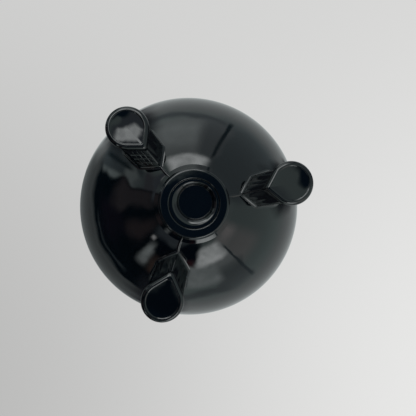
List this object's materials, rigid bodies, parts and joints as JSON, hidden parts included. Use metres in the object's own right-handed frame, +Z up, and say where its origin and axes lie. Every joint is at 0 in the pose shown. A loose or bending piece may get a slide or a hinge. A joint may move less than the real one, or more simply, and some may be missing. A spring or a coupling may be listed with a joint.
{
  "type": "tripod pot",
  "caption": "Globular black clay pot on splayed keeled legs with flat teardrop soles, a short flared neck, a rolled lip and a stepped foot ring underneath.",
  "frame": {"origin": "on the floor, on the axis of the globe, between the soles", "axes": "+Z up through the mouth; -Y through the front leg"},
  "size_m": [0.15, 0.15, 0.1669],
  "materials": {
    "black_clay": "mirror-bright burnished black"
  },
  "bodies": {
    "root": {"lower_bowl": "black_clay", "upper_bowl": "black_clay", "neck_collar": "black_clay", "rolled_lip": "black_clay", "foot_ring": "black_clay", "base_plate": "black_clay", "leg_front": "black_clay", "sole_front": "black_clay", "root_collar_front": "black_clay", "luting_rib_front": "black_clay", "leg_right": "black_clay", "sole_right": "black_clay", "root_collar_right": "black_clay", "luting_rib_right": "black_clay", "leg_left": "black_clay", "sole_left": "black_clay", "root_collar_left": "black_clay", "luting_rib_left": "black_clay"}
  },
  "joints": []
}
